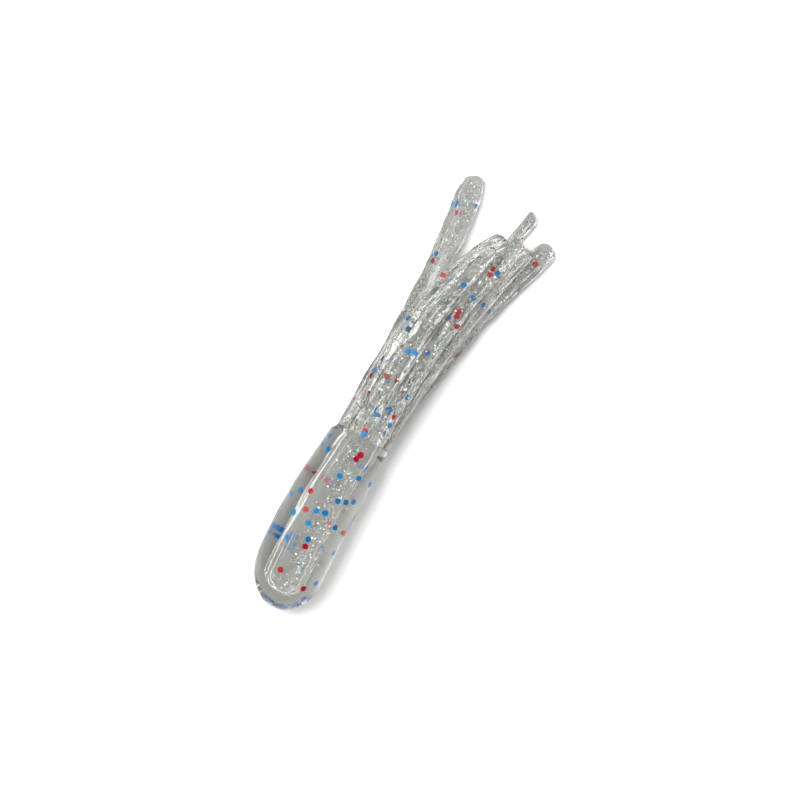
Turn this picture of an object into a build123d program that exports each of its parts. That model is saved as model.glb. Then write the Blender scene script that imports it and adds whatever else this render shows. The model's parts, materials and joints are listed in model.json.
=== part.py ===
from build123d import *
import math
import os

# Hollow tube bait: a dipped soft-plastic tube with a round nose, a second dipped coat on the head,
# and a tail slit into eight strands. Glitter flakes are moulded into the plastic.
# Origin at the mouth of the bore, where the slits begin. +X runs out of the mouth to the tail,
# +Z is up and +Y is the left side seen from above. All sizes are in mm.

# --- driving dimensions -------------------------------------------------------------------------
HEAD_RADIUS = 3.9          # second dip at its fattest
TUBE_RADIUS = 3.1          # first dip, outside
BORE_RADIUS = 1.5          # left by the dipping pin
NOSE_X = -20.5             # front of the head
COAT_THICKNESS = HEAD_RADIUS - TUBE_RADIUS
NOSE_WALL = 2.4            # plastic in front of the bore
NOSE_DOME = 5.0            # length of the elliptical nose
BELLY_END_X = -10.5        # behind this the coat thins towards the shoulder
SHOULDER_RADIUS = 3.45     # coat at the shoulder
SHOULDER_X = -0.7          # middle of the slanted dip line
SHOULDER_SLANT = 10.0      # degrees, the rod was dipped slightly askew
SHOULDER_ROUND = 0.12

FIRST_SLIT = 12.5          # degrees from +Y towards +Z
SLIT = 0.10                # gap between neighbours at the root
ROOT_GAP = 0.03            # clearance between a strand's root and the tube
TIP_SHRINK = 0.90          # sections close in a little towards the tip
STATIONS = 8

FLAKE_ACROSS_FLATS = 0.6   # 0.024 inch hexagonal glitter
FLAKE_THICKNESS = 0.05

MID_RADIUS = (TUBE_RADIUS + BORE_RADIUS) / 2

# The slits are cut by hand, so the strands differ. From the first slit round the ring:
#   sector: width at the root, degrees;  length: reach along X;  tip: (y, z) of the middle line's end
#   bend: how late the line leaves the root's direction, in y and in z;  bow: extra belly, (y, z)
#   roll: turn of the section by the tip, degrees;  cut: slant of the tip's cut, degrees
STRANDS = {
    "crossing_strand": dict(
        sector=42, length=25.8, tip=(-2.80, -1.25), bend=(3.9, 2.15), bow=(0, 0), roll=30, cut=8
    ),
    "top_strand": dict(
        sector=45, length=22.4, tip=(-1.40, 1.35), bend=(2.4, 2.8), bow=(0, 0), roll=10, cut=-14
    ),
    "right_top_strand": dict(
        sector=45, length=26.3, tip=(-4.25, 0.30), bend=(2.4, 2.0), bow=(0, 0), roll=-8, cut=0
    ),
    "right_side_strand": dict(
        sector=45, length=26.1, tip=(-5.40, -1.20), bend=(1.9, 2.6), bow=(0, 0), roll=-35, cut=6
    ),
    "right_floor_strand": dict(
        sector=45, length=27.7, tip=(-7.35, -2.95), bend=(1.65, 1.3), bow=(0, 0), roll=50, cut=0
    ),
    "narrow_strand": dict(
        sector=33, length=29.9, tip=(-4.15, -3.05), bend=(1.6, 1.4), bow=(0, 0), roll=10, cut=20
    ),
    "hidden_strand": dict(
        sector=47, length=20.5, tip=(-0.85, -2.95), bend=(1.8, 1.3), bow=(0, 0), roll=-20, cut=0
    ),
    "left_strand": dict(
        sector=58, length=30.3, tip=(3.40, -3.00), bend=(3.0, 1.45), bow=(-0.4, 0), roll=-70, cut=-4
    ),
}


# Glitter that shows: in the head as (x, y, side) with side +1 above the bore and -1 below it.
HEAD_FLAKES = {
    "red": {
        "coat": [
            (-16.9, -2.3, 1), (-16.3, 0.6, 1), (-12.9, -0.4, 1), (-9.5, 1.4, 1), (-7.6, 1.9, 1),
            (-2.3, -0.5, 1), (-10.0, -1.1, -1), (-6.1, 0.9, -1),
        ],
        "core": [(-1.8, -0.6, 1), (-10.1, -1.5, -1)],
    },
    "blue": {
        "coat": [
            (-19.5, -1.4, 1), (-18.9, -2.2, 1), (-17.8, -2.7, 1), (-15.9, -3.1, 1), (-13.0, 1.6, 1),
            (-12.1, -0.3, 1), (-10.6, 0.5, 1), (-9.7, -2.1, 1), (-9.1, 0.4, 1), (-9.0, 3.3, 1),
            (-8.1, 2.8, 1), (-7.1, -1.0, 1), (-6.8, -1.8, 1), (-6.4, -2.5, 1), (-4.7, 0.1, 1),
            (-4.0, -3.1, 1), (-2.9, 2.5, 1), (-1.6, 3.0, 1), (-12.9, 1.0, -1), (-13.7, 0.8, -1),
            (-6.2, 0.5, -1), (-3.1, -1.0, -1),
        ],
        "core": [
            (-10.5, 2.0, 1), (-8.9, -0.4, 1), (-4.0, -1.5, 1), (-14.3, 0.7, -1), (-15.4, -0.5, -1),
            (-12.4, -1.8, -1), (-3.0, 2.1, -1), (-2.7, 0.0, -1), (-2.9, -1.8, -1),
        ],
    },
}
CORE_FLAKE_RADIUS = 2.3
# Glitter in the strands as (x, across, out, facing) in the strand's own section.
STRAND_FLAKES = {
    "crossing_strand": {
        "red": [(19.0, 0.5, 0.2, "out"), (4.4, -0.3, -0.2, "side"), (6.1, 0.4, 0.2, "side")],
        "blue": [
            (6.7, 0.3, 0.3, "out"), (8.3, 0.2, 0.3, "side"), (12.3, -0.4, 0.2, "side"),
            (12.8, 0.1, 0.2, "side"), (13.3, 0.4, 0.25, "side"),
        ],
    },
    "top_strand": {
        "red": [(0.7, -0.45, 0.2, "out"), (6.8, 0.5, 0.2, "out"), (7.0, -0.5, 0.2, "side")],
        "blue": [
            (0.35, -0.5, 0.3, "out"), (2.8, -0.6, 0.2, "out"), (3.2, -0.3, 0.3, "side"),
            (6.5, 0.1, 0.2, "side"), (10.2, 0.1, 0.3, "out"), (10.5, -0.5, 0.25, "out"),
            (19.3, -0.45, 0.2, "out"),
        ],
    },
    "right_top_strand": {
        "red": [
            (3.5, -0.4, 0.3, "out"), (16.0, 0.1, 0.35, "out"), (16.5, 0.2, 0.2, "out"),
            (22.2, 0.35, 0.35, "out"), (21.6, 0.1, 0.1, "out"), (15.2, -0.6, 0.1, "out"),
        ],
        "blue": [
            (1.5, -0.3, 0.3, "side"), (2.5, -0.4, 0.35, "out"), (3.9, 0.5, 0.3, "out"),
            (6.0, -0.5, 0.3, "out"), (7.1, -0.6, 0.2, "side"), (11.1, 0.3, 0.3, "out"),
            (15.3, 0.45, 0.1, "out"), (18.6, -0.1, 0.3, "out"), (22.3, -0.5, 0.1, "side"),
        ],
    },
    "right_side_strand": {
        "red": [(0.9, 0.5, 0.0, "side")],
        "blue": [(1.1, -0.5, 0.3, "side"), (18.5, 0.2, 0.3, "side"), (5.2, 0.1, -0.3, "side")],
    },
    "right_floor_strand": {
        "red": [(25.3, 0.3, -0.35, "out"), (12.8, 0.2, 0.2, "side")],
        "blue": [(10.8, 0.3, 0.1, "side"), (18.4, 0.3, -0.1, "side"), (22.6, -0.3, -0.2, "out")],
    },
    "narrow_strand": {
        "red": [(11.2, 0.0, 0.2, "out")],
        "blue": [(7.4, 0.1, 0.1, "out"), (17.9, -0.1, 0.2, "out"), (24.0, 0.0, 0.2, "side")],
    },
    "hidden_strand": {
        "red": [(9.7, 0.2, 0.1, "out")],
        "blue": [(4.8, -0.3, 0.2, "out"), (13.6, 0.2, 0.2, "out"), (17.4, -0.2, 0.1, "out")],
    },
    "left_strand": {
        "red": [(20.1, -0.7, 0.1, "out"), (25.9, -0.4, -0.2, "side"), (9.1, 0.4, 0.2, "out")],
        "blue": [
            (20.9, -0.8, -0.1, "out"), (26.8, -0.7, 0.2, "side"), (27.5, 0.7, 0.1, "side"),
            (14.3, 0.2, 0.1, "out"),
        ],
    },
}
FLAKE_LEANS = (0, 14, -10, 25, -18)   # degrees about the strand's own line


def nose_solid(radius, front_x, back_x, back_radius=None, belly_x=None):
    """A round-nosed bar on the X axis; behind belly_x it narrows to back_radius."""
    middle = front_x + NOSE_DOME
    with BuildPart() as bar:
        with BuildSketch(Plane.XY):
            with BuildLine():
                EllipticalCenterArc((middle, 0), NOSE_DOME, radius, start_angle=90, arc_size=90)
                if back_radius is None:
                    Line((middle, radius), (back_x, radius))
                    Line((back_x, radius), (back_x, 0))
                else:
                    Line((middle, radius), (belly_x, radius))
                    Spline((belly_x, radius), (back_x, back_radius), tangents=[(1, 0), (1, -0.06)])
                    Line((back_x, back_radius), (back_x, 0))
                Line((back_x, 0), (front_x, 0))
            make_face()
        revolve(axis=Axis.X)
    return bar.part


def tube_core():
    bar = nose_solid(TUBE_RADIUS, NOSE_X + COAT_THICKNESS, 0)
    bore_end = NOSE_X + NOSE_WALL + BORE_RADIUS
    bore = Pos((bore_end / 2, 0, 0)) * Rot(0, 90, 0) * Cylinder(BORE_RADIUS, -bore_end)
    return bar - bore - Pos((bore_end, 0, 0)) * Sphere(BORE_RADIUS)


def head_coat():
    outside = nose_solid(HEAD_RADIUS, NOSE_X, 0.2, SHOULDER_RADIUS, BELLY_END_X)
    slanted = Pos((SHOULDER_X, 0, 0)) * Rot(0, 0, -SHOULDER_SLANT)
    outside -= slanted * Pos((10, 0, 0)) * Box(20, 20, 20)
    rim = outside.edges().sort_by(Axis.X)[-1]
    outside = fillet(rim, SHOULDER_ROUND)
    return outside - nose_solid(TUBE_RADIUS, NOSE_X + COAT_THICKNESS, 5)


def strand_line(shape, angle, u):
    """The strand's middle line: x, y, z at the fraction u of its length."""
    y0, z0 = MID_RADIUS * math.cos(angle), MID_RADIUS * math.sin(angle)
    belly = 6.75 * u * u * (1 - u)
    y = y0 + (shape["tip"][0] - y0) * u ** shape["bend"][0] + shape["bow"][0] * belly
    z = z0 + (shape["tip"][1] - z0) * u ** shape["bend"][1] + shape["bow"][1] * belly
    return Vector(ROOT_GAP + (shape["length"] - ROOT_GAP) * u, y, z)


def strand_plane(shape, angle, u):
    """A plane across the strand, its local y pointing away from the bore, rolled towards the tip."""
    if u == 0:
        along = Vector(1, 0, 0)
    else:
        step = 0.002
        along = (strand_line(shape, angle, u) - strand_line(shape, angle, u - step)).normalized()
    outward = Vector(0, math.cos(angle), math.sin(angle)).rotate(Axis.X, shape["roll"] * u)
    across = outward.cross(along).normalized()
    plane = Plane(origin=strand_line(shape, angle, u), x_dir=across, z_dir=along)
    if u == 1 and shape["cut"]:
        plane = plane.rotated((0, shape["cut"], 0))
    return plane


def strand_section(sector, size):
    """A piece of the tube's wall between two slits, about its own middle."""
    half = math.radians(sector / 2)
    outer_x = TUBE_RADIUS * math.sin(half) - SLIT / 2
    outer_y = TUBE_RADIUS * math.cos(half) - MID_RADIUS
    inner_x = BORE_RADIUS * math.sin(half) - SLIT / 2
    inner_y = BORE_RADIUS * math.cos(half) - MID_RADIUS
    wall = (TUBE_RADIUS - BORE_RADIUS) / 2
    with BuildSketch() as section:
        with BuildLine():
            ThreePointArc((-outer_x, outer_y), (0, wall), (outer_x, outer_y))
            Line((outer_x, outer_y), (inner_x, inner_y))
            ThreePointArc((inner_x, inner_y), (0, -wall), (-inner_x, inner_y))
            Line((-inner_x, inner_y), (-outer_x, outer_y))
        make_face()
        scale(by=size)
    return section.sketch


def strand(shape, angle):
    sections = []
    for n in range(STATIONS + 1):
        u = n / STATIONS
        section = strand_section(shape["sector"], 1 - (1 - TIP_SHRINK) * u)
        sections.append((strand_plane(shape, angle, u) * section).face())
    return loft(sections)


def coat_middle(x):
    """Radius of the middle of the coat at x, and how much its surface leans forward there."""
    radius = (HEAD_RADIUS + TUBE_RADIUS) / 2
    dome_end = NOSE_X + COAT_THICKNESS / 2 + NOSE_DOME
    if x < dome_end:
        ahead = (dome_end - x) / NOSE_DOME
        here = radius * math.sqrt(1 - ahead ** 2)
        return here, ahead * radius ** 2 / (NOSE_DOME * here)
    thin = max(0, (x - BELLY_END_X) / (SHOULDER_X - BELLY_END_X))
    outside = HEAD_RADIUS - (HEAD_RADIUS - SHOULDER_RADIUS) * min(1, thin) ** 1.3
    return (outside + TUBE_RADIUS) / 2, 0


def flake(center, facing, turn):
    """One hexagonal flake whose flat faces look along facing."""
    plane = Plane(origin=center, z_dir=facing)
    hexagon = RegularPolygon(FLAKE_ACROSS_FLATS / 2, 6, major_radius=False, rotation=turn)
    return extrude(plane * hexagon, FLAKE_THICKNESS / 2, both=True)


def wall_flakes(places, layer):
    """Flakes in the head: each place is (x, y, side), side +1 in the upper half and -1 in the lower."""
    made = []
    for n, (x, y, side) in enumerate(places):
        if layer == "coat":
            radius, lean = coat_middle(x)
        else:
            radius, lean = CORE_FLAKE_RADIUS, 0
        cosine = max(-1, min(1, y / radius))
        z = side * radius * math.sqrt(1 - cosine ** 2)
        facing = Vector(-lean, cosine, z / radius)
        made.append(flake(Vector(x, radius * cosine, z), facing, 23 * n))
    return made


def strand_flakes(shape, angle, places):
    """Flakes in a strand: each place is (x, across, out, facing) in the strand's own section."""
    made = []
    for n, (x, across, out, facing) in enumerate(places):
        u = (x - ROOT_GAP) / (shape["length"] - ROOT_GAP)
        plane = strand_plane(shape, angle, u)
        center = plane.origin + plane.x_dir * across + plane.y_dir * out
        lean = FLAKE_LEANS[n % len(FLAKE_LEANS)]
        normal = plane.y_dir if facing == "out" else plane.x_dir
        made.append(flake(center, normal.rotate(Axis((0, 0, 0), plane.z_dir), lean), 37 * n))
    return made


def export(solids, name):
    """Write one node; a list becomes a group of separate solids."""
    export_step(Compound(solids) if isinstance(solids, list) else solids, f"parts/{name}.step")


os.makedirs("parts", exist_ok=True)
export(tube_core(), "tube_core")
export(head_coat(), "head_coat")
for colour, layers in HEAD_FLAKES.items():
    for layer, places in layers.items():
        export(wall_flakes(places, layer), f"{colour}_flakes_in_{layer}")
slit = FIRST_SLIT
for name, shape in STRANDS.items():
    angle = math.radians(slit + shape["sector"] / 2)
    slit += shape["sector"]
    export(strand(shape, angle), name)
    for colour in ("red", "blue"):
        export(strand_flakes(shape, angle, STRAND_FLAKES[name][colour]), f"{colour}_flakes_in_{name}")
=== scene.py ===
# %% [markdown]
# # A clear tube bait
# This lesson dresses a imported CAD model of a small soft-plastic fishing bait: a round-nosed hollow tube
# whose tail is slit into eight strands, moulded in clear plastic with red and blue glitter in it.
# The CAD model holds the sizes, the joints and where everything is. Here each plastic part gets a
# finely shaped skin and a real plastic to look through, and the head rides on the CAD body that moves it.

# %% Load the frame
import json
import math
import random

import bpy
from mathutils import Matrix, Vector, noise

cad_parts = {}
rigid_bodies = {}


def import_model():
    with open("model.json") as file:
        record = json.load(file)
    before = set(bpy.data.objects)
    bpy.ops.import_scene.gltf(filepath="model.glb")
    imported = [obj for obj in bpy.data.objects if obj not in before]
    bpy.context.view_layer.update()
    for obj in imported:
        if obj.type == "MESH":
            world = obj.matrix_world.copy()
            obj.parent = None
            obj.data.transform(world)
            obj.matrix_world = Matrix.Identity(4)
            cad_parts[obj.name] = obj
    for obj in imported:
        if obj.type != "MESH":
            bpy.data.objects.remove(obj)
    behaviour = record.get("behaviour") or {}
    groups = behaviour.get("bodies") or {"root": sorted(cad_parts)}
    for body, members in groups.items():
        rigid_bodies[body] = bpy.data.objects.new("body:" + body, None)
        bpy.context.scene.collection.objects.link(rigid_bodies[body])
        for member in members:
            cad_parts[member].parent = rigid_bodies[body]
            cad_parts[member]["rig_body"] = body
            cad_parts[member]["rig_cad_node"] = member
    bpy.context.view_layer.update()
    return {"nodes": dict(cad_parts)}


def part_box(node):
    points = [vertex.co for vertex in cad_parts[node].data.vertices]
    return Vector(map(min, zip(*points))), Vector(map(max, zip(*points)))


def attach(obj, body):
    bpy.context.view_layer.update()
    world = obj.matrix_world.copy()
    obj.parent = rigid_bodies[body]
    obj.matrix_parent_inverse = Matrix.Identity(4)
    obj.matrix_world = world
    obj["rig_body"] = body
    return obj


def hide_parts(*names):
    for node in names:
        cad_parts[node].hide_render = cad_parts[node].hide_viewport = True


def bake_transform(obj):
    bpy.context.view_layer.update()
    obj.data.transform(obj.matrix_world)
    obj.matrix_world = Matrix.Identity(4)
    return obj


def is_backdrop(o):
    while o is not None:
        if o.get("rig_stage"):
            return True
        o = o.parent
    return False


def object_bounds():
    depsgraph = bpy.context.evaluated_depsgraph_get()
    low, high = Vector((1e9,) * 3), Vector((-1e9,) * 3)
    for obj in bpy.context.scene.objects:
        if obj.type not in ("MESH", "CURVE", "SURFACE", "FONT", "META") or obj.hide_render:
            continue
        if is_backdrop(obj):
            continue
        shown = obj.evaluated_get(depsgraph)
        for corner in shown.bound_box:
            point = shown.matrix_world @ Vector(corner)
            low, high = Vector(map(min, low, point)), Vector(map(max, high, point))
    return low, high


MM = 0.001
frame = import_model()

# %% [markdown]
# ## Sizes
# The sizes below are the CAD's driving dimensions, in millimetres, in the same frame: the origin is the
# middle of the bore's mouth, where the slits begin, and +X runs out of the mouth to the tail. They could
# be measured off the frame's meshes, but a route with a formula is far easier to read, so the strand
# table is repeated and then compared with the frame's own boxes.

# %% Driving dimensions
HEAD_RADIUS = 3.9
TUBE_RADIUS = 3.1
BORE_RADIUS = 1.5
NOSE_X = -20.5
NOSE_DOME = 5.0
NOSE_WALL = 2.4
BELLY_END_X = -10.5
SHOULDER_RADIUS = 3.45
SHOULDER_X = -0.7
SHOULDER_SLANT = 10.0
MID_RADIUS = (TUBE_RADIUS + BORE_RADIUS) / 2
FIRST_SLIT = 12.5
SLIT = 0.10
ROOT_GAP = 0.03
TIP_SHRINK = 0.90

# sector and roll are in degrees; length is the reach along X; tip is the line's end in y and z;
# bend is how late the line leaves the root's direction; cut slants the tip's end face, in degrees
STRANDS = {
    "crossing_strand": dict(sector=42, length=25.8, tip=(-2.80, -1.25), bend=(3.9, 2.15), roll=30, cut=8),
    "top_strand": dict(sector=45, length=24.2, tip=(-2.35, 1.05), bend=(3.2, 2.6), roll=10, cut=-14),
    "right_top_strand": dict(sector=45, length=26.3, tip=(-4.25, 0.30), bend=(2.4, 2.0), roll=-8, cut=0),
    "right_side_strand": dict(sector=45, length=26.1, tip=(-5.40, -1.20), bend=(1.9, 2.6), roll=-35, cut=6),
    "right_floor_strand": dict(sector=45, length=27.7, tip=(-7.35, -2.95), bend=(1.65, 1.3), roll=50, cut=0),
    "narrow_strand": dict(sector=33, length=29.9, tip=(-4.15, -3.05), bend=(1.6, 1.4), roll=10, cut=20),
    "hidden_strand": dict(sector=47, length=20.5, tip=(-0.85, -2.95), bend=(1.8, 1.3), roll=-20, cut=0),
    "left_strand": dict(sector=58, length=30.4, tip=(3.32, -3.00), bend=(3.0, 1.45), roll=-70, cut=-4),
}
BOW = {"left_strand": -0.4}         # how far the line bellies sideways, in mm
ARC_POINTS = 8                      # points along the outer arc of a strand's section
SIDE_POINTS = 6                     # points along each of its cut faces
INNER_POINTS = ARC_POINTS - 2
RING_POINTS = ARC_POINTS + INNER_POINTS + 2 * SIDE_POINTS

slit = FIRST_SLIT
for shape in STRANDS.values():
    shape["angle"] = math.radians(slit + shape["sector"] / 2)
    slit += shape["sector"]
print("strands:", len(STRANDS), "sectors add up to", slit - FIRST_SLIT)

# %% [markdown]
# ## Nodes as expressions
# Material maths is easier to read as Python than as a list of links. A `Wire` holds one socket, and
# arithmetic on it adds Math nodes. Every other node comes from its one method, `node`.


# %% The wire
class Wire:
    """A socket in a material's tree; + - * / on it add Math nodes."""

    def __init__(self, socket):
        self.socket = socket

    @staticmethod
    def node(tree, kind, settings=None, inputs=None, out=0):
        """Add a node, set its settings, then give its sockets values or links."""
        made = tree.nodes.new(kind)
        for name, value in (settings or {}).items():
            if name == "stops":
                ramp = made.color_ramp
                while len(ramp.elements) < len(value):
                    ramp.elements.new(1.0)
                for element, (place, colour) in zip(ramp.elements, value):
                    element.position = place
                    element.color = colour
            else:
                setattr(made, name, value)
        for name, value in (inputs or {}).items():
            if isinstance(value, Wire):
                tree.links.new(value.socket, made.inputs[name])
            else:
                made.inputs[name].default_value = value
        return Wire(made.outputs[out])

    def _math(self, operation, first, second):
        tree = self.socket.id_data
        return Wire.node(tree, "ShaderNodeMath", {"operation": operation}, {0: first, 1: second})

    def __add__(self, other):
        return self._math("ADD", self, other)

    __radd__ = __add__

    def __sub__(self, other):
        return self._math("SUBTRACT", self, other)

    def __rsub__(self, other):
        return self._math("SUBTRACT", other, self)

    def __mul__(self, other):
        return self._math("MULTIPLY", self, other)

    __rmul__ = __mul__


def new_material(name):
    """A material whose tree holds only its output."""
    material = bpy.data.materials.new(name)
    material.use_nodes = True
    material.node_tree.nodes.clear()
    return material, material.node_tree


def put_out(tree, shader):
    """Link the shader to the material's output."""
    output = tree.nodes.new("ShaderNodeOutputMaterial")
    tree.links.new(shader.socket, output.inputs["Surface"])


def noise_texture(tree, where, scale, detail):
    inputs = {"Vector": where, "Scale": scale, "Detail": detail}
    return Wire.node(tree, "ShaderNodeTexNoise", {}, inputs)


def stretched_noise(tree, where, scales, detail):
    """Noise with its own scale along each axis."""
    stretched = Wire.node(tree, "ShaderNodeMapping", {}, {"Vector": where, "Scale": scales})
    return noise_texture(tree, stretched, 1.0, detail)


def mix_colour(tree, factor, first, second):
    inputs = {"Factor": factor, 6: first, 7: second}
    return Wire.node(tree, "ShaderNodeMix", {"data_type": "RGBA"}, inputs, out=2)


def map_range(tree, value, before, after):
    """Turn the range before into the range after, and clamp it there."""
    inputs = {0: value, 1: before[0], 2: before[1], 3: after[0], 4: after[1]}
    return Wire.node(tree, "ShaderNodeMapRange", {}, inputs)


def object_place(tree):
    return Wire.node(tree, "ShaderNodeTexCoord", out=3)


def principled(tree, inputs):
    return Wire.node(tree, "ShaderNodeBsdfPrincipled", {}, inputs)


# %% [markdown]
# ## The clear plastic
# The bait is plasticised PVC: clear, soft and wet-looking, a little smoky. A glass shader alone would
# be too clean, so each surface takes a little light away, and a shallow bump gives the ripple of
# dipped plastic. The dipping pin was not polished, so the bore's wall gets a frosted finish of its own.
# Baits are packed in oil, and the oil left in the bore makes its wall bend light far less than air would.
# The strands' finish reads the strand's own UV map, so that its fine lines run along the strand
# wherever it bends. Little light gets out of a slit, so shade is painted into the colour along its two
# edges as broken dark lines.
# Where the strands grow out of the tube the plastic is one body, so the faces that meet there get a
# finish that light passes straight through.

# %% Plastic finishes
PVC_IOR = 1.49
OILED_IOR = 1.12
DULLING = (0.90, 0.90, 0.86)        # how much the cloudier plastic lets through
RIPPLE_HEIGHT = 0.1                 # mm
MIRROR_TINT = (0.5, 0.5, 0.5, 1)    # the skin mirrors about half of what a polished one would
UV_PER_RADIAN = 1.2                 # mm of the UV map's v for each radian round a strand
# Shade is painted into the strands' colour along the slits' edges, as broken dark lines where little light
# gets out; the next five numbers set it.
SLIT_PAINTED_SHADE = (0.10, 0.10, 0.09, 1)
SLIT_FADE = (0.05 * MM, 0.22 * MM)  # where a slit's line starts to fade and where it ends
SLIT_BREAKS = (260, 500, 1)
SLIT_OPEN = (0.42, 0.54)            # the noise that opens a slit's line, from closed to open
SLIT_SHADE_STRENGTH = 0.95


def outline_v(point):
    """Where a point of a strand's section lies in the UV map's v, in mm."""
    turn = math.pi + (point + 0.5) * 2 * math.pi / RING_POINTS
    return turn % (2 * math.pi) * UV_PER_RADIAN


def paint_slit_shade(tree, where, colour):
    """Paint shade into the colour in broken dark lines along the two outer edges of a strand, at its slits.
    """
    across = Wire.node(tree, "ShaderNodeSeparateXYZ", {}, {0: where}, out=1)
    breaks = stretched_noise(tree, where, SLIT_BREAKS, 1.0)
    open_here = map_range(tree, breaks, SLIT_OPEN, (0.0, SLIT_SHADE_STRENGTH))
    for corner in (0, ARC_POINTS):
        offset = across - outline_v(corner) * MM
        away = Wire.node(tree, "ShaderNodeMath", {"operation": "ABSOLUTE"}, {0: offset})
        line = map_range(tree, away, SLIT_FADE, (1.0, 0.0))
        colour = mix_colour(tree, line * open_here, colour, SLIT_PAINTED_SHADE)
    return colour


def clear_plastic(name, fine_scale, broad_scale, tint, clear, rough, ripple, ior=PVC_IOR, uv_map=None):
    """Clear plastic on Object coordinates, or on a strand's UV map, which also gets painted shade along its
    slits.
    """
    material, tree = new_material(name)
    if uv_map:
        where = Wire.node(tree, "ShaderNodeUVMap", {"uv_map": uv_map})
    else:
        where = object_place(tree)
    lines = stretched_noise(tree, where, fine_scale, 4.0)
    clouds = stretched_noise(tree, where, broad_scale, 2.0)
    dull = [part * less for part, less in zip(tint, DULLING)]
    colour = mix_colour(tree, clouds, (*tint, 1), (*dull, 1))
    # a strand's colour also gets painted shade along its slits
    if uv_map:
        colour = paint_slit_shade(tree, where, colour)
    height = lines * 0.5 + clouds * 0.5
    bump_inputs = {"Strength": ripple, "Distance": RIPPLE_HEIGHT * MM, "Height": height}
    bump = Wire.node(tree, "ShaderNodeBump", {}, bump_inputs)
    shader = principled(tree, {
        "Base Color": colour,
        "Roughness": rough[0] + clouds * (rough[1] - rough[0]),
        "IOR": ior,
        "Transmission Weight": clear,
        "Specular Tint": MIRROR_TINT,
        "Normal": bump,
    })
    put_out(tree, shader)
    return material


HEAD_PLASTIC = clear_plastic(
    "clear plastisol, dipped", fine_scale=(500, 1500, 1500), broad_scale=(120, 350, 350),
    tint=(0.94, 0.94, 0.925), clear=1.0, rough=(0.0, 0.05), ripple=0.12,
)
BORE_PLASTIC = clear_plastic(
    "clear plastisol, pin side", fine_scale=(500, 3000, 3000), broad_scale=(300, 1500, 1500),
    tint=(0.95, 0.95, 0.94), clear=0.85, rough=(0.10, 0.35), ripple=0.5, ior=OILED_IOR,
)
STRAND_PLASTIC = clear_plastic(
    "clear plastisol, slit, with painted slit shade", fine_scale=(800, 5200, 1), broad_scale=(260, 1900, 1),
    tint=(0.96, 0.96, 0.945), clear=0.98, rough=(0.0, 0.10), ripple=0.35, uv_map="along",
)


def joined_plastic():
    """What light passes straight through, between two pieces that are one body of plastic."""
    material, tree = new_material("clear plastisol, grown together")
    shader = principled(
        tree, {"Base Color": (1, 1, 1, 1), "Roughness": 0.0, "IOR": 1.0, "Transmission Weight": 1.0}
    )
    put_out(tree, shader)
    return material


JOINED_PLASTIC = joined_plastic()


# %% [markdown]
# ## The glitter
# Each flake is a plate of plastic film, metallised and lacquered. It is cut, not moulded, so its faces
# are flat. Sunk in plastic it mirrors little, so its colour comes mostly from the lacquer, which drifts
# a little from flake to flake. The dust has no lacquer, only a hologram's changing hues.

# %% Foil finishes
LACQUERED_METAL = 0.25              # how metallic a flake looks under its lacquer
PATCH_SCALE = 900.0                 # the lacquer's drift, across many flakes
GRAIN_SCALE = 9000.0                # within one flake
HUE_SCALE = 2600.0


def foil(name, light, dark):
    material, tree = new_material(name)
    place = object_place(tree)
    patch = noise_texture(tree, place, PATCH_SCALE, 1.0)
    grain = noise_texture(tree, place, GRAIN_SCALE, 2.0)
    bump = Wire.node(tree, "ShaderNodeBump", {}, {"Strength": 0.2, "Distance": 0.02 * MM, "Height": grain})
    shader = principled(tree, {
        "Base Color": mix_colour(tree, patch, (*light, 1), (*dark, 1)),
        "Metallic": LACQUERED_METAL,
        "Roughness": 0.28 + grain * 0.2,
        "Specular IOR Level": 0.1,
        "Normal": bump,
    })
    put_out(tree, shader)
    return material


RED_FOIL = foil("red lacquered foil", (0.90, 0.008, 0.025), (0.62, 0.003, 0.012))
BLUE_FOIL = foil("blue lacquered foil", (0.004, 0.42, 0.98), (0.004, 0.20, 0.72))


def hologram_foil():
    material, tree = new_material("hologram dust")
    hue = noise_texture(tree, object_place(tree), HUE_SCALE, 0.0)
    rainbow = [
        (0.30, (0.95, 0.62, 0.70, 1)),
        (0.42, (0.95, 0.95, 0.95, 1)),
        (0.52, (0.70, 0.95, 0.78, 1)),
        (0.62, (0.97, 0.97, 0.93, 1)),
        (0.72, (0.62, 0.78, 0.98, 1)),
    ]
    colour = Wire.node(tree, "ShaderNodeValToRGB", {"stops": rainbow}, {"Fac": hue})
    shader = principled(
        tree, {"Base Color": colour, "Metallic": 0.9, "Roughness": 0.10 + hue * 0.25}
    )
    put_out(tree, shader)
    return material


HOLOGRAM_FOIL = hologram_foil()


# %% [markdown]
# ## Working in edit mode
# An operator acts on everything that is selected, and loading the frame leaves the CAD parts selected,
# so each piece starts by deselecting all. A ring is a circle turned to face along X, with its turn
# applied, and the tube and the strands both grow out of one by extruding it.

# %% Rings
def start_ring(name, count, radius, x):
    """Add a ring of count points that faces along X, and start editing it."""
    bpy.ops.object.select_all(action="DESELECT")
    bpy.ops.mesh.primitive_circle_add(
        vertices=count, radius=radius * MM, location=(x * MM, 0, 0), rotation=(0, math.pi / 2, 0)
    )
    piece = bpy.context.object
    piece.name = name
    piece.data.name = name
    bpy.ops.object.transform_apply(location=True, rotation=True, scale=True)
    bpy.ops.object.mode_set(mode="EDIT")
    bpy.ops.mesh.select_all(action="SELECT")
    return piece


def next_ring(step_x, grow=1.0):
    """Extrude the selected ring along X by a step in mm, and scale it across."""
    bpy.ops.mesh.extrude_region_move(TRANSFORM_OT_translate={"value": (step_x * MM, 0, 0)})
    if grow != 1.0:
        bpy.ops.transform.resize(value=(1, grow, grow), center_override=(0, 0, 0))


def close_ring():
    """Close the selected ring with a fan of triangles to its middle."""
    bpy.ops.mesh.extrude_region_move()
    bpy.ops.mesh.merge(type="CENTER")


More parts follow.
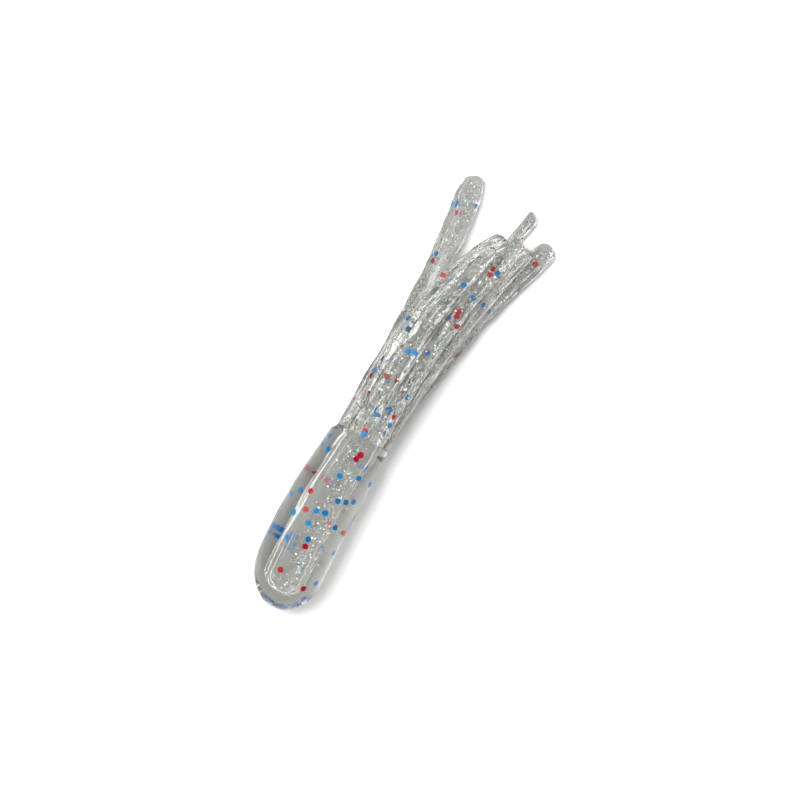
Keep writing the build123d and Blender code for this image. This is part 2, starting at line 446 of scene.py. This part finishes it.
def open_edges(piece):
    """How many edges have no face or only one: none on a closed skin."""
    used = [0] * len(piece.data.edges)
    for polygon in piece.data.polygons:
        for loop in polygon.loop_indices:
            used[piece.data.loops[loop].edge_index] += 1
    return sum(n != 2 for n in used)


def finish_edit(piece, subdivisions):
    """Turn all faces outwards, leave edit mode, and smooth the piece."""
    bpy.ops.mesh.select_all(action="SELECT")
    bpy.ops.mesh.normals_make_consistent(inside=False)
    bpy.ops.object.mode_set(mode="OBJECT")
    bpy.ops.object.shade_smooth()
    smooth = piece.modifiers.new("skin", "SUBSURF")
    smooth.levels = subdivisions
    smooth.render_levels = subdivisions
    bpy.ops.object.modifier_apply(modifier=smooth.name)


# %% [markdown]
# ## Head and tube
# The real tube is dipped twice: once for the whole length and once more for the head, which leaves a
# slanted shoulder where the second dip ends. The two layers melt into one, so what the eye sees is a
# single clear wall with the bore inside it. It could be revolved from a profile, or cut from two
# solids; here a small ring at the nose is extruded along the outside, over the rim and back down the
# bore, because each ring's radius is then one line of a formula.

# %% The head's profile
NOSE_RINGS = 12
BELLY_RINGS = 20
BELLY_STEP = 0.7
BELLY_TAPER = 1.3                   # above 1, the belly thins late
BORE_STEPS = 30
BORE_END_X = NOSE_X + NOSE_WALL + BORE_RADIUS
RAMP_X = SHOULDER_X - 1.05          # where the coat starts to feather out
# the feathered end of the coat: steps along X from the shoulder, and radii
SHOULDER_RAMP = [
    (-1.05, SHOULDER_RADIUS), (-0.80, 3.435), (-0.55, 3.37), (-0.35, 3.27), (-0.20, 3.16),
    (-0.08, TUBE_RADIUS + 0.005),
]
# rings close to the rim's two edges keep them crisp when the skin is smoothed
RIM_BACK = 0.12
RIM_NEAR = 0.02
RIM_FLAT = 0.15


def outside_radius(x):
    """The radius of the outside at x, in mm."""
    if x < NOSE_X + NOSE_DOME:
        ahead = (NOSE_X + NOSE_DOME - x) / NOSE_DOME
        return HEAD_RADIUS * math.sqrt(max(0, 1 - ahead * ahead))
    if x < BELLY_END_X:
        return HEAD_RADIUS
    thin = (x - BELLY_END_X) / (RAMP_X - BELLY_END_X)
    return HEAD_RADIUS - (HEAD_RADIUS - SHOULDER_RADIUS) * min(1, thin) ** BELLY_TAPER


nose_angles = [math.pi / 2 * (n + 1) / (NOSE_RINGS + 1) for n in range(NOSE_RINGS)]
profile = [
    (NOSE_X + NOSE_DOME * (1 - math.cos(a)), HEAD_RADIUS * math.sin(a)) for a in nose_angles
]
belly_x = [NOSE_X + NOSE_DOME + n * BELLY_STEP for n in range(BELLY_RINGS)]
profile += [(x, outside_radius(x)) for x in belly_x]
profile += [(SHOULDER_X + step, radius) for step, radius in SHOULDER_RAMP]
profile += [(-RIM_BACK, TUBE_RADIUS), (0.0, TUBE_RADIUS - RIM_NEAR), (0.0, TUBE_RADIUS - RIM_FLAT)]
profile += [(0.0, BORE_RADIUS + RIM_FLAT), (0.0, BORE_RADIUS + RIM_NEAR), (-RIM_BACK, BORE_RADIUS)]
profile += [(BORE_END_X * n / BORE_STEPS, BORE_RADIUS) for n in range(1, BORE_STEPS + 1)]
profile += [
    (BORE_END_X - BORE_RADIUS * math.sin(a), BORE_RADIUS * math.cos(a)) for a in nose_angles[:-1]
]
print("rings in the head:", len(profile))

# %% Extrude the head
HEAD_POINTS = 64
nose_tip_x, nose_tip_radius = profile[0]
head = start_ring("head_and_tube", HEAD_POINTS, nose_tip_radius, nose_tip_x)
bpy.ops.mesh.edge_face_add()
bpy.ops.mesh.inset(thickness=nose_tip_radius * 0.5 * MM)
bpy.ops.mesh.merge(type="CENTER")
bpy.ops.object.mode_set(mode="OBJECT")
# the nose is closed now, and its rim is selected to go on from
points = [v.co for v in head.data.vertices]
for edge in head.data.edges:
    ends = [points[i] for i in edge.vertices]
    edge.select = all(Vector((end.y, end.z)).length > nose_tip_radius * MM * 0.9 for end in ends)
bpy.ops.object.mode_set(mode="EDIT")
bpy.ops.mesh.select_mode(type="EDGE")
for (x, radius), (next_x, next_radius) in zip(profile, profile[1:]):
    next_ring(next_x - x, next_radius / radius)
close_ring()
bpy.ops.object.mode_set(mode="OBJECT")

# %% [markdown]
# The shoulder's rings lean, because the rod was dipped a little askew, and the head slims down to the
# tube earlier on its right side. The head hangs a little to one side, as soft plastic does, and the
# bore's wall is ribbed by the pin that it was dipped on.

# %% Lean the shoulder, bow the head and ripple the walls
WALL_SWELL = 0.05                   # mm in or out, everywhere
BORE_RIBS = 0.26                    # mm in or out, on the bore's wall
COAT_END_X = -0.2                   # the coat's outside ends here
SLIM_FROM_X, SLIM_LENGTH = -3.5, 2.6
SLIM_SPREAD = 1.3                   # how soon the right side counts as fully on the right
LEAN_FROM_X, LEAN_LENGTH = -5, 2.5
LEAN_FADE = 0.6                     # the lean dies out this close to the rim
HEAD_BOW = 0.28                     # mm sideways
BOW_FROM_X, BOW_TO_X = -15.0, -0.5
NOSE_BOW = 1.5                      # how much stronger the bow is in front of BOW_FROM_X
lean = math.tan(math.radians(SHOULDER_SLANT))
for v in head.data.vertices:
    x, y, z = v.co / MM
    radius = math.hypot(y, z)
    outer = radius > TUBE_RADIUS - 0.05 and x < COAT_END_X
    if radius > 0.05:
        swell = noise.noise(Vector((x * 0.25, y * 0.5, z * 0.5))) * WALL_SWELL
        if radius <= BORE_RADIUS + 0.01 and x < -0.05:
            swell += noise.noise(Vector((x * 0.22, y * 4.0, z * 4.0))) * BORE_RIBS
        v.co.y += y / radius * swell * MM
        v.co.z += z / radius * swell * MM
    if outer and y < 0 and x > SLIM_FROM_X:
        fade = min(1.0, (x - SLIM_FROM_X) / SLIM_LENGTH)
        to_tube = 1 - (TUBE_RADIUS + 0.02) / radius
        slim = 1 - to_tube * fade * fade * min(1.0, -SLIM_SPREAD * y / radius)
        v.co.y *= slim
        v.co.z *= slim
    if outer:
        near = min(1.0, -x / LEAN_FADE) * max(0.0, min(1.0, (x - LEAN_FROM_X) / LEAN_LENGTH))
        v.co.x += near * lean * y * MM
    if x < BOW_TO_X:
        way = (x - BOW_FROM_X) / (BOW_TO_X - BOW_FROM_X)
        v.co.y += HEAD_BOW * math.sin(math.pi * max(way, -0.5)) * (NOSE_BOW if way < 0 else 1) * MM
bpy.ops.object.mode_set(mode="EDIT")
finish_edit(head, 1)

# %% Finish the head
BORE_MIDDLE_Y = 0.2                 # the bow moves the bore's middle sideways
for finish in (HEAD_PLASTIC, BORE_PLASTIC, JOINED_PLASTIC):
    head.data.materials.append(finish)
for polygon in head.data.polygons:
    middle, normal = polygon.center / MM, polygon.normal
    inward = -(middle.y * normal.y + middle.z * normal.z)
    behind_nose = middle.x > BORE_END_X - BORE_RADIUS - 0.1
    near_axis = math.hypot(middle.y - BORE_MIDDLE_Y, middle.z) < BORE_RADIUS + 0.45
    if near_axis and behind_nose and (inward > 0 or normal.x > 0.5):
        polygon.material_index = 1
    if middle.x > -0.02 and normal.x > 0.7:
        polygon.material_index = 2
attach(head, "tube")
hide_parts("tube_core", "head_coat")
print("head faces:", len(head.data.polygons), "open edges:", open_edges(head))


# %% [markdown]
# ## Strands
# A strand is a piece of the tube's wall between two slits: a wedge with an outer and an inner arc and
# two cut faces. It could be cut from the tube, but then it couldn't curl. It is made like dough
# instead: a straight blank is extruded, its surface is crinkled while it is still straight, and then
# every ring is laid across the strand's route.

# %% A strand's route and section
def route(name, u):
    """The strand's middle line in mm, at the fraction u of its length."""
    shape = STRANDS[name]
    y0 = MID_RADIUS * math.cos(shape["angle"])
    z0 = MID_RADIUS * math.sin(shape["angle"])
    u = max(u, 0.0)
    belly = 6.75 * u * u * (1 - u)
    y = y0 + (shape["tip"][0] - y0) * u ** shape["bend"][0] + BOW.get(name, 0) * belly
    z = z0 + (shape["tip"][1] - z0) * u ** shape["bend"][1]
    return Vector((ROOT_GAP + (shape["length"] - ROOT_GAP) * u, y, z))


def section_axes(name, u):
    """The middle, the across and the outward directions of the section at u."""
    shape = STRANDS[name]
    along = (route(name, u) - route(name, u - 0.002)).normalized() if u > 0.002 else Vector((1, 0, 0))
    outward = Vector((0, math.cos(shape["angle"]), math.sin(shape["angle"])))
    outward = Matrix.Rotation(math.radians(shape["roll"] * u), 3, "X") @ outward
    across = outward.cross(along).normalized()
    return route(name, u), across, along.cross(across)


def wedge_outline(sector):
    """Points round the strand's section, (side, rise) in mm, from one outer corner."""
    half = math.radians(sector / 2)
    points = []
    for n in range(ARC_POINTS):
        a = half - 2 * half * n / ARC_POINTS
        points.append((TUBE_RADIUS * math.sin(a), TUBE_RADIUS * math.cos(a) - MID_RADIUS))
    for n in range(SIDE_POINTS):
        radius = TUBE_RADIUS + (BORE_RADIUS - TUBE_RADIUS) * n / SIDE_POINTS
        points.append((-radius * math.sin(half), radius * math.cos(half) - MID_RADIUS))
    for n in range(INNER_POINTS):
        a = -half + 2 * half * n / INNER_POINTS
        points.append((BORE_RADIUS * math.sin(a), BORE_RADIUS * math.cos(a) - MID_RADIUS))
    for n in range(SIDE_POINTS):
        radius = BORE_RADIUS + (TUBE_RADIUS - BORE_RADIUS) * n / SIDE_POINTS
        points.append((radius * math.sin(half), radius * math.cos(half) - MID_RADIUS))
    widest = TUBE_RADIUS * math.sin(half)
    trim = (widest - SLIT / 2) / widest
    return [(side * trim, rise) for side, rise in points]


# %% Extrude a straight blank and crinkle it
RING_STEP = 0.33
TIP_CREASE = 0.8
TIP_ROUND = {"right_floor_strand": 0.9}     # how much of the tip is rounded off, in mm
CUT_TIP_ROUND = 0.12
TIP_FACE = 0.55                     # how much of the width is left at the very end
CALM_LENGTH = 3.0                   # the crinkle builds up over this length from the root
CUT_LENGTH = 3                      # the tip's slanted cut reaches this far back
RIDGE, RIPPLE, NICKS = 0.16, 0.11, 0.05


def strand_blank(name):
    """A straight strand along X from its root, in mm, with the outline that it will get."""
    shape = STRANDS[name]
    blank = start_ring(name + "_skin", RING_POINTS, 1.0, ROOT_GAP)
    bpy.ops.transform.edge_crease(value=1.0)
    rings = int(shape["length"] / RING_STEP)
    bpy.ops.mesh.edge_face_add()
    for _ in range(rings):
        next_ring((shape["length"] - ROOT_GAP) / rings)
    if name not in TIP_ROUND:
        bpy.ops.transform.edge_crease(value=TIP_CREASE)
    bpy.ops.object.mode_set(mode="OBJECT")
    return blank, wedge_outline(shape["sector"])


def crinkle(name, x, side, rise):
    """How far the plastic stands in or out at a point of the straight blank, in mm."""
    seed = 10.0 * list(STRANDS).index(name)
    ridge = 1 - abs(noise.noise(Vector((x * 0.16, side * 1.7 + seed, rise * 1.7)))) * 2.6
    ripple = noise.noise(Vector((x * 0.45, side * 2.6 + seed, rise * 2.6 + 5)))
    nicks = noise.noise(Vector((x * 1.5, side * 4.5 + seed, rise * 4.5 + 9)))
    calm = min(1.0, x / CALM_LENGTH)
    return calm * (RIDGE * ridge + ripple * RIPPLE + nicks * NICKS - 0.12)


# how wide a strand swells on its way, as (x, size) stops
SWELL = {
    "left_strand": [(0, 1.0), (19, 1.0), (24, 1.18), (28.0, 1.26), (30.3, 0.86)],
    "narrow_strand": [(0, 1.0), (26, 1.0), (29.9, 1.12)],
    "right_floor_strand": [(0, 1.0), (18, 1.0), (25, 1.28), (27.7, 1.25)],
    "top_strand": [(0, 1.0), (20, 1.0), (24.2, 0.62)],
}


def swollen(name, x):
    """The strand's size at x, eased from stop to stop."""
    stops = SWELL.get(name, [(0, 1.0), (40, 1.0)])
    for (x0, size0), (x1, size1) in zip(stops, stops[1:]):
        if x <= x1:
            way = max(0.0, (x - x0) / (x1 - x0))
            way = way * way * (3 - 2 * way)
            return size0 + (size1 - size0) * way
    return stops[-1][1]


def lay_strand(name):
    """Give the blank its wedge section, its crinkle and its UV map, and lay it on its route."""
    shape = STRANDS[name]
    blank, outline = strand_blank(name)
    mesh = blank.data
    length = shape["length"]
    round_end = TIP_ROUND.get(name, CUT_TIP_ROUND)
    slant = math.tan(math.radians(shape["cut"]))
    straight = [(v.co.x / MM, math.atan2(v.co.y, v.co.z)) for v in mesh.vertices]
    ring_turns = sorted(turn for x, turn in straight if abs(x - ROOT_GAP) < 1e-4)
    for v, (x, turn) in zip(mesh.vertices, straight):
        u = (x - ROOT_GAP) / (length - ROOT_GAP)
        side, rise = outline[min(range(RING_POINTS), key=lambda k: abs(ring_turns[k] - turn))]
        size = (1 - (1 - TIP_SHRINK) * u) * swollen(name, x)
        left = length - x
        if left < round_end:
            shrunk = math.sqrt(max(0.0, 1 - ((round_end - left) / round_end) ** 2))
            size *= shrunk * (1 - TIP_FACE) + TIP_FACE
        size *= 1 + crinkle(name, x, side, rise) / math.hypot(side, rise)
        side, rise = side * size, rise * size
        middle, across, outward = section_axes(name, u)
        along = across.cross(outward)
        back = side * slant * max(0, 1 - left / CUT_LENGTH)
        v.co = (middle + across * side + outward * rise - along * back) * MM
    uv_map = mesh.uv_layers.new(name="along")
    for polygon in mesh.polygons:
        for loop in polygon.loop_indices:
            x, turn = straight[mesh.loops[loop].vertex_index]
            uv_map.data[loop].uv = (x * MM, turn % (2 * math.pi) * UV_PER_RADIAN * MM)
    bpy.ops.object.mode_set(mode="EDIT")
    finish_edit(blank, 1)
    mesh.materials.append(STRAND_PLASTIC)
    mesh.materials.append(JOINED_PLASTIC)
    for polygon in mesh.polygons:
        if polygon.center.x < (ROOT_GAP + 0.02) * MM and polygon.normal.x < -0.7:
            polygon.material_index = 1
    return blank


# %% [markdown]
# A strand bends at its root when it flares. Each skin is laid on its route, and how far it reaches past
# its CAD part's box is printed.

# %% Lay the strands
for name in STRANDS:
    skin = lay_strand(name)
    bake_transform(skin)
    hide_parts(name)
    low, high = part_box(name)
    inside = [min(v.co[k] for v in skin.data.vertices) - low[k] for k in range(3)]
    beyond = [max(v.co[k] for v in skin.data.vertices) - high[k] for k in range(3)]
    print(
        name, "faces", len(skin.data.polygons), "open edges", open_edges(skin), "past its CAD box, mm:",
        [round(d / MM, 2) for d in inside], [round(d / MM, 2) for d in beyond],
    )

# %% [markdown]
# ## Glitter
# The CAD already holds every coloured flake as a plate. Those in the head stay and only get their
# finish. Those in the strands are copied, with their loose triangles merged, and given their finish.

# %% Finish the flakes
FOILS = {"red": (RED_FOIL, "red_glitter"), "blue": (BLUE_FOIL, "blue_glitter")}


def bend_with_strand(node_name, foil_material):
    """Copy a group of flakes, merge its loose triangles, and give it its finish."""
    source = frame["nodes"][node_name]
    bpy.ops.object.select_all(action="DESELECT")
    copy = source.copy()
    copy.data = source.data.copy()
    copy.name = node_name + "_bending"
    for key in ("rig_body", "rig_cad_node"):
        del copy[key]
    copy.parent = None
    bpy.context.scene.collection.objects.link(copy)
    bpy.context.view_layer.objects.active = copy
    copy.select_set(True)
    bpy.ops.object.mode_set(mode="EDIT")
    bpy.ops.mesh.select_all(action="SELECT")
    bpy.ops.mesh.remove_doubles(threshold=0.001 * MM)
    bpy.ops.object.mode_set(mode="OBJECT")
    copy.data.materials.clear()
    copy.data.materials.append(foil_material)
    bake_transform(copy)
    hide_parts(node_name)


for node_name, node in frame["nodes"].items():
    colour, _, host = node_name.partition("_flakes_in_")
    if not host:
        continue
    foil_material, slot_name = FOILS[colour]
    if host in STRANDS:
        bend_with_strand(node_name, foil_material)
    else:
        node.material_slots[0].material = foil_material
print("flake groups:", sum("_flakes_in_" in n for n in frame["nodes"]))

# %% [markdown]
# ## Hologram dust
# Between the coloured flakes the first dip is full of much finer silver glitter, which is what makes
# the strands sparkle. One speck is modelled, a thin six-sided plate, and then repeated at many places
# inside the plastic with its own turn each time. The specks of one strand are one piece that bends
# with it.

# %% One speck
bpy.ops.object.select_all(action="DESELECT")
bpy.ops.mesh.primitive_cylinder_add(vertices=6, radius=0.5, depth=0.12, end_fill_type="NGON")
speck = bpy.context.object
SPECK_POINTS = [v.co.copy() for v in speck.data.vertices]
SPECK_FACES = [tuple(polygon.vertices) for polygon in speck.data.polygons]
bpy.data.objects.remove(speck)


def dust_piece(name, places):
    """One mesh with a speck at each place: (middle in mm, size in mm, turn)."""
    points = []
    faces = []
    for middle, size, turn in places:
        first = len(points)
        points += [(middle + turn @ (p * size)) * MM for p in SPECK_POINTS]
        faces += [tuple(first + k for k in face) for face in SPECK_FACES]
    mesh = bpy.data.meshes.new(name)
    mesh.from_pydata(points, [], faces)
    mesh.materials.append(HOLOGRAM_FOIL)
    piece = bpy.data.objects.new(name, mesh)
    bpy.context.scene.collection.objects.link(piece)
    return piece


def any_turn(rng):
    """A turn about any axis."""
    axis = Vector((rng.gauss(0, 1), rng.gauss(0, 1), rng.gauss(0, 1))).normalized()
    return Matrix.Rotation(rng.uniform(0, math.pi), 3, axis)


# %% Fill the strands
SPECKS_PER_MM = 32
DUST_SPREAD = 0.80                  # the part of a strand's sector that is filled
DUST_SHRINK = 0.95                  # keeps the specks under the crinkled skin
STRAND_SPECK = (0.09, 0.22)         # smallest and largest, in mm
for name, shape in STRANDS.items():
    rng = random.Random(name + " dust")
    half = math.radians(shape["sector"] / 2) * DUST_SPREAD
    places = []
    for _ in range(int(SPECKS_PER_MM * shape["length"])):
        x = rng.uniform(0.3, shape["length"] - 0.5)
        u = (x - ROOT_GAP) / (shape["length"] - ROOT_GAP)
        radius = rng.uniform(BORE_RADIUS + 0.2, TUBE_RADIUS - 0.22)
        angle = rng.uniform(-half, half)
        size = (1 - (1 - TIP_SHRINK) * u) * DUST_SHRINK
        middle, across, outward = section_axes(name, u)
        middle = middle + across * (radius * math.sin(angle) * size)
        middle = middle + outward * ((radius * math.cos(angle) - MID_RADIUS) * size)
        places.append((middle, rng.uniform(*STRAND_SPECK), any_turn(rng)))
    dust = dust_piece("silver_dust_in_" + name, places)
    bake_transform(dust)
    print(dust.name, "specks", len(places))

# %% Fill the wall round the bore
# The specks lie thickest in a stripe along the top. It leans from straight up at the mouth to the
# right at the nose, and a quarter of the specks lie in the same stripe underneath.
HEAD_SPECKS = 1700
HEAD_SPECK = (0.07, 0.17)           # smallest and largest, in mm
STRIPE_LEAN = 24                    # degrees from the mouth to the nose
STRIPE_WIDTH = 17                   # degrees, one standard deviation
rng = random.Random("head dust")
places = []
for _ in range(HEAD_SPECKS):
    x = rng.uniform(BORE_END_X - 1.3, -0.3)
    radius = rng.uniform(BORE_RADIUS + 0.15, BORE_RADIUS + 0.5)
    drift = 90 + STRIPE_LEAN * x / BORE_END_X
    angle = math.radians(drift + rng.gauss(0, STRIPE_WIDTH)) * rng.choice((1, 1, 1, -1))
    middle = Vector((x, radius * math.cos(angle), radius * math.sin(angle)))
    places.append((middle, rng.uniform(*HEAD_SPECK), any_turn(rng)))
head_dust = dust_piece("silver_dust_in_tube", places)
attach(head_dust, "tube")

# %% [markdown]
# ## Stage, light and camera
# The bait lies on a plain pale floor and is seen from straight above, with its tail up and to the
# right. Clear plastic shows what is round it, so most of the light is sky: a broad bright patch on the
# bait's left side, four small windows for glints, a darker horizon that greys the plastic's edges, and
# a darker zenith that keeps reflections off the flakes. A small lamp gives the bait its shadow. It
# can't be seen in the plastic or through it, so it burns no white spots there.

# %% Floor
FLOOR_SIZE = 3.0                    # metres
FLOOR_SHADE = (0.76, 0.76, 0.76, 1)
low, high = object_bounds()
bpy.ops.object.select_all(action="DESELECT")
bpy.ops.mesh.primitive_plane_add(size=FLOOR_SIZE, location=(0, 0, low.z - 0.01 * MM))
floor = bpy.context.object
floor.name = "floor"
floor_material, tree = new_material("white floor")
put_out(tree, Wire.node(tree, "ShaderNodeBsdfDiffuse", {}, {"Color": FLOOR_SHADE}))
floor.data.materials.append(floor_material)
floor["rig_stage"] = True

# %% Camera
TAIL_TILT = math.radians(60.3)      # the bait's axis in the view, from the horizontal
FIELD = 85.2                        # mm across the view, at the bait's middle
LENS = 100.0
AIM = Vector((5.37, -1.44, 0)) * MM
camera_data = bpy.data.cameras.new("camera")
camera_data.lens = LENS
camera = bpy.data.objects.new("camera", camera_data)
bpy.context.scene.collection.objects.link(camera)
distance = LENS / camera_data.sensor_width * FIELD * MM
camera.location = AIM + Vector((0, 0, distance))
camera.rotation_euler = (0, 0, -TAIL_TILT)
bpy.context.scene.camera = camera
print("camera height, mm:", round(distance / MM, 1))

# %% Sky
# Each patch is (direction, brightness, sharpness).
SKY_BASE = 0.65
PATCHES = [
    ((0.06, 0.52, 0.85), 4.0, 14.0),
    ((0.62, 0.55, 0.56), 12.0, 200.0),
    ((-0.62, 0.55, 0.56), 12.0, 200.0),
    ((0.62, -0.55, 0.56), 10.0, 200.0),
    ((-0.62, -0.55, 0.56), 10.0, 200.0),
]
# the plain sky's brightness from the horizon to straight up, as (height, brightness) stops
SKY_LEVELS = [(0.0, 0.12), (0.20, 0.35), (0.45, 1.0), (0.80, 1.0), (0.95, 0.25), (1.0, 0.15)]
world = bpy.data.worlds.new("sky")
world.use_nodes = True
sky = world.node_tree
sky.nodes.clear()
toward = Wire.node(sky, "ShaderNodeTexCoord")
height = Wire.node(sky, "ShaderNodeSeparateXYZ", {}, {0: toward}, out=2)
stops = [(place, (level, level, level, 1)) for place, level in SKY_LEVELS]
brightness = Wire.node(sky, "ShaderNodeValToRGB", {"stops": stops}, {"Fac": height}) * SKY_BASE
for direction, strength, sharpness in PATCHES:
    directions = {0: toward, 1: Vector(direction).normalized()}
    facing = Wire.node(sky, "ShaderNodeVectorMath", {"operation": "DOT_PRODUCT"}, directions, out=1)
    above = Wire.node(sky, "ShaderNodeMath", {"operation": "MAXIMUM"}, {0: facing, 1: 0.0})
    patch = Wire.node(sky, "ShaderNodeMath", {"operation": "POWER"}, {0: above, 1: sharpness})
    brightness = brightness + patch * strength
backdrop = Wire.node(
    sky, "ShaderNodeBackground", {}, {"Color": (1, 1, 1, 1), "Strength": brightness}
)
sky_out = sky.nodes.new("ShaderNodeOutputWorld")
sky.links.new(backdrop.socket, sky_out.inputs["Surface"])
bpy.context.scene.world = world

# %% Lamp
LAMP_SIZE = 0.12                    # metres
LAMP_DISTANCE = 0.35
LAMP_POWER = 1.05                   # watts
to_lamp = Vector((0.04, 0.28, 0.96)).normalized()
lamp_data = bpy.data.lights.new("soft light", "AREA")
lamp_data.size = LAMP_SIZE
lamp_data.energy = LAMP_POWER
lamp = bpy.data.objects.new("soft light", lamp_data)
bpy.context.scene.collection.objects.link(lamp)
lamp.location = AIM + to_lamp * LAMP_DISTANCE
lamp.rotation_euler = to_lamp.to_track_quat("Z", "Y").to_euler()
lamp.visible_glossy = False
lamp.visible_transmission = False
bpy.context.scene.view_settings.view_transform = "Standard"

# %% Print the visual box and finish
low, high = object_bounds()
print("visual box, mm:", [round((b - a) / MM, 2) for a, b in zip(low, high)])
